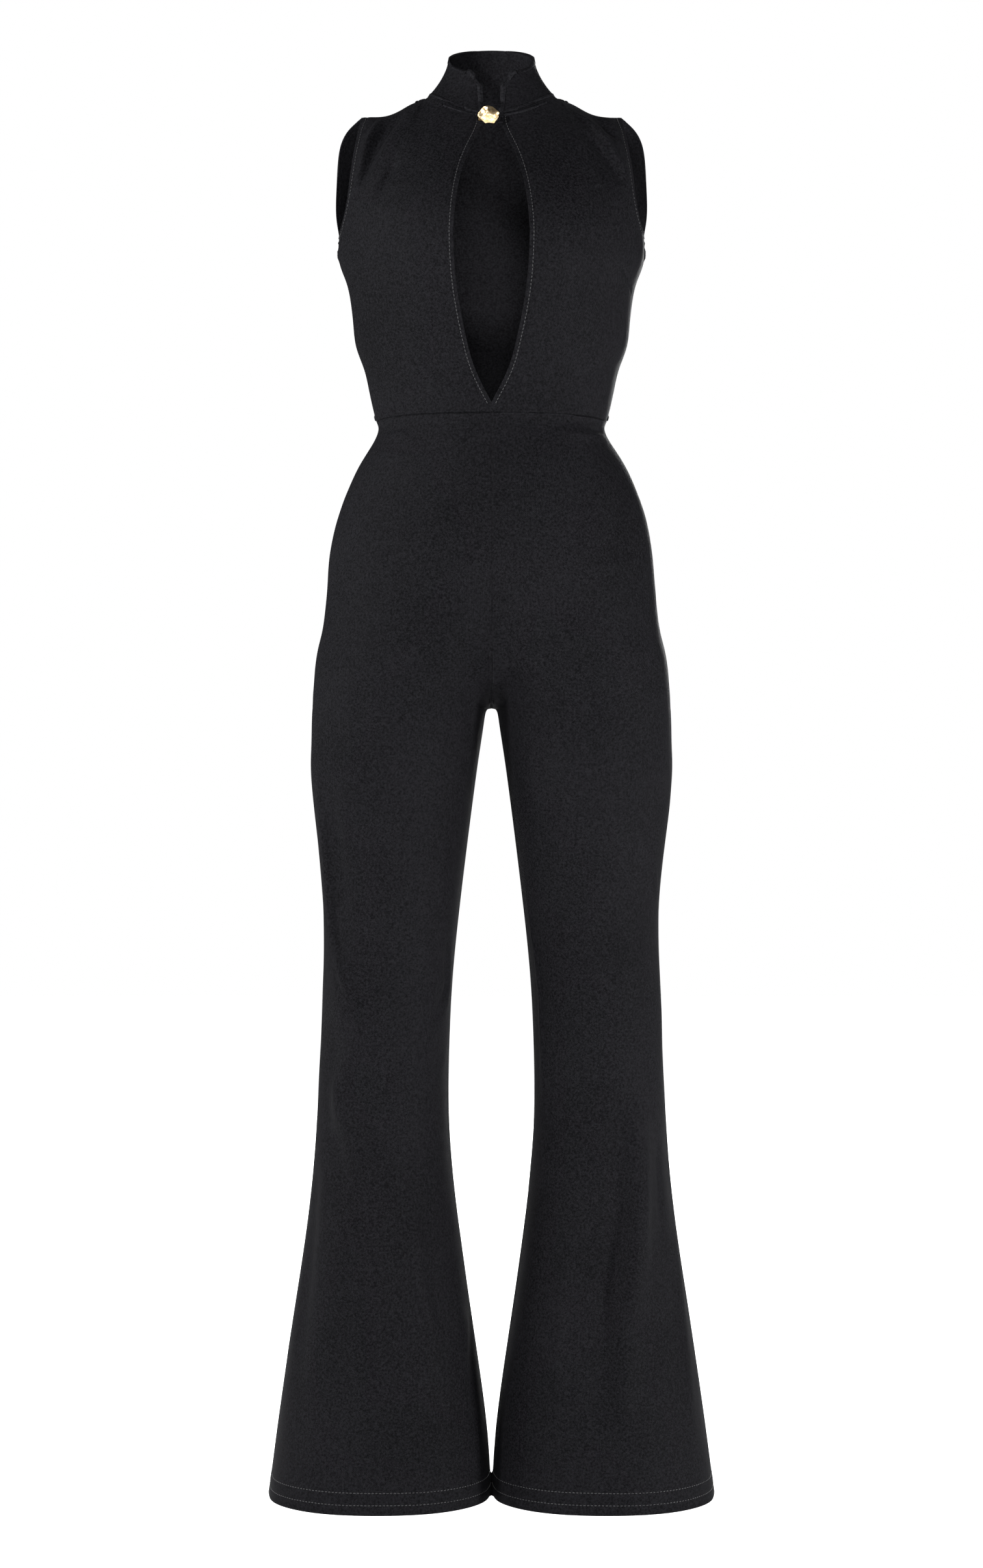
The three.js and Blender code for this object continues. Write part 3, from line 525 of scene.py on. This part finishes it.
backCreases = [
    # bodice back
    {"reach": 0.0055, "rise": -0.0024, "path": [
        (0.096, -0.012), (0.118, -0.036), (0.132, -0.066), (0.138, -0.092)]},
    {"reach": 0.0060, "rise": 0.0016, "path": [(0.104, -0.052), (0.116, -0.076), (0.121, -0.098)]},
    {"reach": 0.0060, "rise": -0.0022, "path": [(-0.092, -0.018), (-0.115, -0.044), (-0.130, -0.078)]},
    {"reach": 0.0055, "rise": 0.0012, "path": [(-0.110, -0.040), (-0.122, -0.060)]},
    {"reach": 0.0075, "rise": -0.0024, "path": [
        (0.112, -0.262), (0.086, -0.254), (0.052, -0.257), (0.028, -0.252)]},
    {"reach": 0.0070, "rise": -0.0020, "path": [(-0.108, -0.270), (-0.078, -0.262), (-0.040, -0.266)]},
    {"reach": 0.0060, "rise": 0.0018, "path": [(0.104, -0.290), (0.070, -0.284), (0.036, -0.288)]},
    {"reach": 0.0065, "rise": 0.0014, "path": [(-0.098, -0.236), (-0.070, -0.229), (-0.044, -0.232)]},
    # trouser back
    {"reach": 0.0080, "rise": -0.0032, "path": [
        (0.018, -0.618), (0.052, -0.626), (0.098, -0.612), (0.136, -0.590)]},
    {"reach": 0.0085, "rise": -0.0030, "path": [(-0.020, -0.622), (-0.058, -0.632), (-0.104, -0.618)]},
    {"reach": 0.0090, "rise": 0.0022, "path": [(0.030, -0.660), (0.070, -0.672), (0.110, -0.668)]},
    {"reach": 0.0085, "rise": 0.0018, "path": [(-0.036, -0.668), (-0.078, -0.676)]},
    {"reach": 0.0080, "rise": -0.0030, "path": [(0.060, -0.900), (0.096, -0.888), (0.134, -0.894)]},
    {"reach": 0.0070, "rise": -0.0018, "path": [(0.054, -0.934), (0.090, -0.926), (0.120, -0.930)]},
    {"reach": 0.0085, "rise": -0.0028, "path": [(-0.056, -0.890), (-0.094, -0.902), (-0.140, -0.896)]},
    {"reach": 0.0075, "rise": -0.0016, "path": [(-0.066, -0.926), (-0.104, -0.938)]},
    {"reach": 0.0120, "rise": 0.0030, "path": [(0.122, -0.990), (0.114, -1.120), (0.108, -1.300)]},
    {"reach": 0.0120, "rise": -0.0028, "path": [(0.070, -1.060), (0.062, -1.190), (0.052, -1.330)]},
    {"reach": 0.0110, "rise": -0.0026, "path": [(0.176, -1.080), (0.186, -1.210), (0.196, -1.350)]},
    {"reach": 0.0125, "rise": 0.0032, "path": [(-0.110, -1.010), (-0.120, -1.140), (-0.136, -1.330)]},
    {"reach": 0.0110, "rise": -0.0024, "path": [(-0.062, -1.080), (-0.054, -1.200), (-0.046, -1.320)]},
    {"reach": 0.0115, "rise": 0.0022, "path": [(-0.168, -1.100), (-0.182, -1.220), (-0.196, -1.360)]},
]

# Sewn bust darts: short sharp troughs from the armhole side, one on each side
dart = {
    "reach": 0.0024, "rise": -0.0032,
    "path": [(0.1285, -0.1635), (0.1345, -0.1685), (0.1400, -0.1770), (0.1420, -0.1850)],
}
for side in (-1, 1):
    frontCreases.append(dict(dart, path=[(side * x, z) for x, z in dart["path"]]))

creases = {-1: frontCreases, 1: backCreases}
creaseShape = {"dip": 0.32, "dipSpread": 5.0, "stepSpread": 2.2, "taper": 0.6, "margin": 3}

# Soft unevenness of cloth: lengths of the waves along x, y and z, and their height
slack = [
    {"waves": (0.21, 0.26, 0.33), "shift": (0.3, 1.1, 2.0), "rise": 0.0011},
    {"waves": (0.083, 0.091, 0.137), "shift": (1.7, 0.2, 0.9), "rise": 0.00042},
    {"waves": (0.039, 0.043, 0.061), "shift": (0.5, 2.3, 1.2), "rise": 0.00016},
]
slackSlant = 1.3


def slackRise(co):
    total = np.zeros(len(co))
    for wave in slack:
        part = np.ones(len(co))
        for axis, (length, shift) in enumerate(zip(wave["waves"], wave["shift"])):
            slant = slackSlant * co[:, (axis + 1) % 3] / length
            part *= np.sin(2 * math.pi * co[:, axis] / length + shift + slant)
        total += wave["rise"] * part
    return total


# Distance from every point to a path on the cloth, the share along it and the side it is on
def alongPath(co, path):
    best = np.full(len(co), 9.0)
    share = np.zeros(len(co))
    side = np.zeros(len(co))
    lengths = [np.linalg.norm(b - a) for a, b in zip(path, path[1:])]
    total = sum(lengths)
    before = 0.0
    for a, b, length in zip(path, path[1:], lengths):
        along = (b - a) / length
        rel = co - a
        t = np.clip(rel @ along, 0, length)
        off = rel - t[:, None] * along
        distance = np.linalg.norm(off, axis=1)
        nearer = distance < best
        cross = off[:, 0] * along[2] - off[:, 2] * along[0]
        best = np.where(nearer, distance, best)
        share = np.where(nearer, (before + t) / total, share)
        side = np.where(nearer, np.sign(cross), side)
        before += length
    return best, share, side


def tapered(share):
    return np.clip(np.sin(math.pi * np.clip(share, 0, 1)), 0, 1) ** creaseShape["taper"]


def onSheet(tree, face, x, z, fallback):
    hit = tree.ray_cast(Vector((x, face * 0.5, z)), Vector((0, -face, 0)))[0]
    return np.array(hit if hit is not None else (x, fallback, z))


def distancesAlong(points):
    return np.concatenate([[0], np.cumsum(np.linalg.norm(np.diff(points, axis=0), axis=1))])


def smoothedPath(points, count=20, rounds=6):
    flat = np.array(points)
    run = distancesAlong(flat)
    ticks = np.linspace(0, run[-1], count)
    line = np.column_stack([np.interp(ticks, run, flat[:, axis]) for axis in range(2)])
    for _ in range(rounds):
        line[1:-1] = (line[:-2] + 2 * line[1:-1] + line[2:]) / 4
    return line


# Whether a crease misses the panel along one axis
def misses(values, low, high, margin):
    return values.max() < low - margin or values.min() > high + margin


def creaseRise(obj, face):
    co = places(obj.data)
    tree = BVHTree.FromObject(obj, bpy.context.evaluated_depsgraph_get())
    lowest, highest = co.min(axis=0), co.max(axis=0)
    middleY = float(np.mean(co[:, 1]))
    rise = np.zeros(len(co))
    for crease in creases[face]:
        line = smoothedPath(crease["path"])
        margin = crease["reach"] * creaseShape["margin"]
        if any(misses(line[:, k], lowest[axis], highest[axis], margin) for k, axis in ((0, 0), (1, 2))):
            continue
        path = [onSheet(tree, face, x, z, middleY) for x, z in line]
        distance, share, side = alongPath(co, path)
        near = (distance / crease["reach"]) ** 2
        lean = crease.get("lean", 0.0)
        ridge = np.exp(-near) - creaseShape["dip"] * np.exp(-near / creaseShape["dipSpread"])
        step = side * (distance / crease["reach"]) * np.exp(-near / creaseShape["stepSpread"])
        rise += crease["rise"] * tapered(share) * ((1 - lean) * ridge + lean * step)
    return rise


# Turned edges of the bodice: where each runs (x to either side), how wide it is, how much thicker,
# and the groove of its stitching
edgeBands = {
    "keyhole": {
        "x": (-1, 0.045), "y": (-1, 0), "z": (-0.304, -0.012),
        "width": 0.0060, "lift": 0.0003, "groove": 0.00045,
    },
    "armhole": {
        "x": (0.126, 1), "y": (-1, 1), "z": (-0.124, -0.003),
        "width": 0.0065, "lift": 0.0002, "groove": 0.0004,
    },
}
bandShape = {"past": 0.0002, "soften": 0.0004, "grooveWidth": 0.0011}


def bandsOf(name):
    return [band for kind, band in edgeBands.items() if kind != "keyhole" or "front" in name]


def onBand(band, p):
    spans = (band["x"], band["y"], band["z"])
    return all(low < value < high for value, (low, high) in zip((abs(p.x), p.y, p.z), spans))


# Distance of every point of the sheet from its rim, or from the part of the rim in a band
def rimDistance(obj, band=None, batch=2000):
    co = places(obj.data)
    bm = opened(obj.data)
    rim = np.array([v.co[:] for v in bm.verts if v.is_boundary and (band is None or onBand(band, v.co))])
    bm.free()
    if not len(rim):
        return np.full(len(co), 1.0)
    out = np.empty(len(co))
    for start in range(0, len(co), batch):
        part = co[start:start + batch]
        apart = part[:, None, :] - rim[None, :, :]
        out[start:start + batch] = np.sqrt((apart ** 2).sum(axis=2)).min(axis=1)
    return out


# Nought at the panel's rim and one inside it, so that seams stay where they are
def rimFade(obj):
    t = np.clip(rimDistance(obj) / cloth["rimFade"], 0, 1)
    return t * t * (3 - 2 * t)


# A height that falls away past zero, over a soft width
def softStep(height, past, width):
    return height / (1 + np.exp(np.clip(past / width, -30, 30)))


def bandRise(obj, name):
    total = np.zeros(len(obj.data.vertices))
    for band in bandsOf(name):
        off = rimDistance(obj, band) - band["width"]
        total += softStep(band["lift"], off + bandShape["past"], bandShape["soften"])
        total -= band["groove"] * np.exp(-((off / bandShape["grooveWidth"]) ** 2))
    return total


# Leg hems: heights of the two rows of stitching, the turned-up band and the grooves
hem = {
    "rows": (0.010, 0.022), "cuts": (-0.0022, 0.0, 0.0022), "top": 0.05, "ring": 0.004,
    "lift": 0.0004, "past": 0.0012, "soften": 0.0008, "groove": 0.0004, "grooveWidth": 0.0012,
}


# Edge loops for the grooves under the two rows of stitching
def cutHem(bm):
    for row in hem["rows"]:
        for off in hem["cuts"]:
            bmesh.ops.bisect_plane(
                bm, geom=bm.verts[:] + bm.edges[:] + bm.faces[:], dist=weldReach,
                plane_co=(0, 0, hemZ + row + off), plane_no=(0, 0, 1),
            )


def hemRise(co):
    above = co[:, 2] - hemZ
    rise = softStep(hem["lift"], above - hem["rows"][1] - hem["past"], hem["soften"])
    for row in hem["rows"]:
        rise -= hem["groove"] * np.exp(-(((above - row) / hem["grooveWidth"]) ** 2))
    return np.where(above < hem["top"], rise, 0)


# The seams that a panel shares with its neighbours. A rim is brought onto its seam and a hair past
# it, so that no light passes between two panels.
seams = {
    "reach": 0.0012, "tuck": 0.0001, "shoulderY": 0.004, "shoulderFromZ": -0.02, "sideBelowZ": -0.1,
    "collarRadius": 0.0525, "collarDrop": 0.0009,
    "neckRadius": 0.0675, "neckFromZ": -0.0115, "neckLift": 0.0004,
}


# The axis that a rim point moves along to reach its seam, and where it comes to lie
def seamOf(name, co):
    isTrouser = name.startswith("trouser")
    fromAxis = math.hypot(co.x, co.y)
    inward = seams["tuck"] * (1 if "front" in name else -1)
    if name == "collar":
        return ("z", co.z - seams["collarDrop"]) if fromAxis > seams["collarRadius"] else None
    if not isTrouser and fromAxis < seams["neckRadius"] and co.z > seams["neckFromZ"]:
        return "z", co.z + seams["neckLift"]
    if abs(co.z - waistZ) < seams["reach"]:
        return "z", waistZ + (seams["tuck"] if isTrouser else -seams["tuck"])
    if isTrouser and abs(co.x) < seams["reach"]:
        return "x", -sideOf(name) * seams["tuck"]
    if abs(co.y) < seams["reach"] and co.z < seams["sideBelowZ"]:
        return "y", inward
    if abs(co.y - seams["shoulderY"]) < seams["reach"] and co.z > seams["shoulderFromZ"]:
        return "y", seams["shoulderY"] + inward
    return None


# Rolls the panel's edge in a little, so that every seam and free edge is soft
def rollEdge(bm, name):
    isBodice = name.startswith("bodice")
    if not isBodice:
        bmesh.ops.inset_region(
            bm, faces=bm.faces[:], thickness=cloth["seamRoll"], depth=0,
            use_boundary=True, use_even_offset=False,
        )
    bm.normal_update()
    for v in bm.verts:
        if not v.is_boundary:
            continue
        seam = seamOf(name, v.co)
        depth = cloth["seamDepth"] if seam else cloth["edgeDepth"]
        if isBodice:
            depth *= cloth["bodiceRoll"]
        v.co = v.co - v.normal * depth
        if seam:
            setattr(v.co, seam[0], seam[1])


# A UV map in metres: round the body or the leg, and up
def addGrain(obj, name):
    data = obj.data
    co = places(data)
    axisX = np.zeros(len(co))
    if name.startswith("trouser"):
        t = np.clip((legs["grainFromZ"] - co[:, 2]) / legs["grainBlend"], 0, 1)
        axisX = sideOf(name) * legs["axisX"] * t
    turn = np.arctan2(co[:, 0] - axisX, -co[:, 1] * (1 if "front" in name or name == "collar" else -1))
    grain = np.column_stack([turn * grainRadius, co[:, 2]])
    layer = data.uv_layers.new(name="grain")
    index = np.empty(len(data.loops), dtype=int)
    data.loops.foreach_get("vertex_index", index)
    layer.data.foreach_set("uv", grain[index].ravel())


def makePanel(name):
    face = panels[name]["face"]
    isBodice = name.startswith("bodice")
    bm = outerSheet(name)
    if isBodice:
        bmesh.ops.inset_region(
            bm, faces=bm.faces[:], thickness=cloth["bodiceInset"], depth=0,
            use_boundary=True, use_even_offset=True,
        )
    holdForm(bm)
    obj = subdivided(bm, name + "_cloth", cloth["levels"])
    if face:
        rise = (creaseRise(obj, face) + slackRise(places(obj.data))) * rimFade(obj)
        if isBodice:
            rise += bandRise(obj, name)
        lift(obj, rise)
    if name.startswith("trouser"):
        bm = opened(obj.data)
        cutHem(bm)
        writeBack(bm, obj.data)
        lift(obj, hemRise(places(obj.data)))
    bm = opened(obj.data)
    rollEdge(bm, name)
    writeBack(bm, obj.data)
    addGrain(obj, name)
    obj.data.materials.clear()
    obj.data.materials.append(clothFinish)
    # The inner wall gets the inside material, painted lighter to stand in for light inside the garment
    obj.data.materials.append(clothInsidePaintedLight)
    wall = obj.modifiers.new("wall", "SOLIDIFY")
    wall.material_offset = 1
    wall.thickness = cloth["collarThickness"] if name == "collar" else cloth["thickness"]
    wall.offset = -1
    wall.use_even_offset = False
    sheetCopy = obj.data.copy()
    applied(obj)
    obj.data.shade_smooth()
    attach(obj, "root")
    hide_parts(name)
    return obj, sheetCopy


pieces = {}
sheets = {}
for name in panels:
    pieces[name], sheets[name] = makePanel(name)
    print(name, len(pieces[name].data.polygons), "faces")


# Stitches

stitch = {"length": 0.0027, "gap": 0.0009, "width": 1.25, "radius": 0.00034, "proud": 0.00016}
pitch = stitch["length"] + stitch["gap"]
fewestOnEdge = 8


# The rim of a panel's sheet as one closed ring of points
def rimRing(sheet):
    bm = opened(sheet)
    edges = {e for e in bm.edges if e.is_boundary}
    start = min(edges, key=lambda e: e.index)
    ring = [start.verts[0], start.verts[1]]
    edges.discard(start)
    while True:
        step = [e for e in ring[-1].link_edges if e in edges]
        if not step:
            break
        edges.discard(step[0])
        ring.append(step[0].other_vert(ring[-1]))
    points = [v.co.copy() for v in ring]
    bm.free()
    return points


def evenSteps(points, step):
    flat = np.array([p[:] for p in points])
    run = distancesAlong(flat)
    ticks = np.linspace(0, run[-1], max(int(run[-1] / step), 2))
    return [Vector([float(np.interp(t, run, flat[:, axis])) for axis in range(3)]) for t in ticks]


# Rows of stitches along points that lie on a piece
def stitchRow(name, tree, rows):
    bm = bmesh.new()
    alongZ = Matrix.Rotation(math.pi / 2, 4, "Y")
    radius = stitch["radius"]
    size = Matrix.Diagonal((stitch["length"] / 2, radius * stitch["width"], radius, 1))
    for points in rows:
        for a, b in zip(points, points[1:]):
            spot, normal, _, _ = tree.find_nearest((a + b) / 2)
            along = b - a
            if spot is None or along.length < weldReach:
                continue
            along = (along - normal * along.dot(normal)).normalized()
            turn = Matrix((along, normal.cross(along), normal)).transposed().to_4x4()
            place = Matrix.Translation(spot + normal * stitch["proud"])
            bmesh.ops.create_uvsphere(
                bm, u_segments=6, v_segments=4, radius=1, matrix=place @ turn @ size @ alongZ,
            )
    row = newObject(bm, name)
    row.data.shade_smooth()
    row.data.materials.append(threadStuff)
    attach(row, "root")


# Moves a line of rim points into the panel, along the cloth, by a distance
def insideLine(tree, points, distance):
    out = []
    for i, point in enumerate(points):
        before = points[max(i - 1, 0)]
        after = points[min(i + 1, len(points) - 1)]
        along = (after - before).normalized()
        _, normal, _, _ = tree.find_nearest(point)
        inward = normal.cross(along).normalized()
        options = [point + inward * distance, point - inward * distance]
        found = [(tree.find_nearest(p)[0] - p).length for p in options]
        pick = options[0] if found[0] <= found[1] else options[1]
        out.append(tree.find_nearest(pick)[0])
    return out


def sheetTree(name):
    bm = opened(sheets[name])
    tree = BVHTree.FromBMesh(bm)
    bm.free()
    return tree


def bodiceStitching(name):
    tree = sheetTree(name)
    ring = rimRing(sheets[name])
    doubled = ring + ring[1:]
    rows = []
    for band in bandsOf(name):
        for start in range(1, len(ring)):
            if not onBand(band, doubled[start]) or onBand(band, doubled[start - 1]):
                continue
            run = []
            i = start
            while onBand(band, doubled[i]) and len(run) < len(ring):
                run.append(doubled[i])
                i += 1
            if len(run) > fewestOnEdge:
                line = insideLine(tree, evenSteps(run, pitch / 2), band["width"])
                rows.append(evenSteps(line, pitch))
    stitchRow(name.replace("bodice", "stitching"), tree, rows)


def hemStitching(name):
    tree = sheetTree(name)
    ring = [p for p in rimRing(sheets[name]) if p.z < hemZ + hem["ring"]]
    axisX = sideOf(name) * legs["hemAxisX"]
    ring.sort(key=lambda p: math.atan2(p.x - axisX, abs(p.y)))
    steps = evenSteps(ring, pitch)
    rows = []
    for up in hem["rows"]:
        spots = [tree.find_nearest(Vector((p.x, p.y, hemZ + up)))[0] for p in steps]
        rows.append([Vector((spot.x, spot.y, hemZ + up)) for spot in spots])
    stitchRow(name.replace("trouser", "hem_stitching"), tree, rows)


for name in panels:
    if name.startswith("bodice"):
        bodiceStitching(name)
    if name.startswith("trouser"):
        hemStitching(name)
print("stitching sewn")


# Button and loop

nugget = {
    "centre": (-0.0024, -0.0735, -0.0145), "levels": 1, "sharpAngle": math.radians(17),
    "shankFromY": -0.0715, "shankBlend": 0.0015,
    "lump": 0.00022, "lumpScale": 420.0, "scaleStep": 0.37, "phaseStep": 1.9,
    "lumpWays": [(1.0, 0.7, 0.4), (-0.5, 0.9, 1.0), (0.3, -1.0, 0.8), (-0.9, 0.2, -0.7)],
}
# Flats of the cast nugget: the way each looks, and its distance from the middle
nuggetFlats = [
    {"way": (-0.9, -0.25, 0.75), "at": 0.0094},
    {"way": (-0.8, -0.2, -0.75), "at": 0.0088},
    {"way": (0.1, -0.3, -1.0), "at": 0.0082},
    {"way": (0.9, -0.3, -0.7), "at": 0.0086},
    {"way": (0.75, -0.3, 0.8), "at": 0.0083},
    {"way": (0.05, -0.5, 1.0), "at": 0.0078},
    {"way": (-0.45, -1.0, 0.25), "at": 0.0049},
    {"way": (0.35, -1.0, 0.35), "at": 0.0045},
    {"way": (0.1, -1.0, -0.5), "at": 0.0047},
    {"way": (-0.3, -1.0, -0.35), "at": 0.0051},
    {"way": (0.7, -1.0, -0.1), "at": 0.0056},
]


# Cuts flats and low lumps into the nugget, and leaves its shank as it is
def makeButton():
    obj = subdivided(nodeMesh("button"), "gold_nugget", nugget["levels"])
    co = places(obj.data)
    centre = np.array(nugget["centre"])
    rel = co - centre
    moves = 1 - np.clip((co[:, 1] - nugget["shankFromY"]) / nugget["shankBlend"], 0, 1)
    for flat in nuggetFlats:
        way = np.array(flat["way"]) / np.linalg.norm(flat["way"])
        over = np.clip(rel @ way - flat["at"], 0, None) * moves
        rel = rel - over[:, None] * way
    lumps = np.zeros(len(co))
    for k, way in enumerate(nugget["lumpWays"]):
        scale = nugget["lumpScale"] * (1 + nugget["scaleStep"] * k)
        lumps += np.sin(scale * (rel @ np.array(way)) + nugget["phaseStep"] * k)
    setPlaces(obj.data, centre + rel + normalsOf(obj.data) * (nugget["lump"] * lumps * moves)[:, None])
    obj.data.shade_smooth()
    obj.data.set_sharp_from_angle(angle=nugget["sharpAngle"])
    obj.data.materials.clear()
    obj.data.materials.append(goldStuff)
    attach(obj, "root")
    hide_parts("button")


loop = {"levels": 2, "quadAngle": math.radians(40)}


def makeLoop():
    bm = nodeMesh("button_loop")
    bmesh.ops.join_triangles(
        bm, faces=bm.faces, angle_face_threshold=loop["quadAngle"],
        angle_shape_threshold=wallTurn["anyShape"],
    )
    obj = subdivided(bm, "rouleau_loop", loop["levels"])
    obj.data.shade_smooth()
    addGrain(obj, "collar")
    obj.data.materials.clear()
    obj.data.materials.append(clothFinish)
    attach(obj, "root")
    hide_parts("button_loop")


makeButton()
makeLoop()
print("button and loop made")
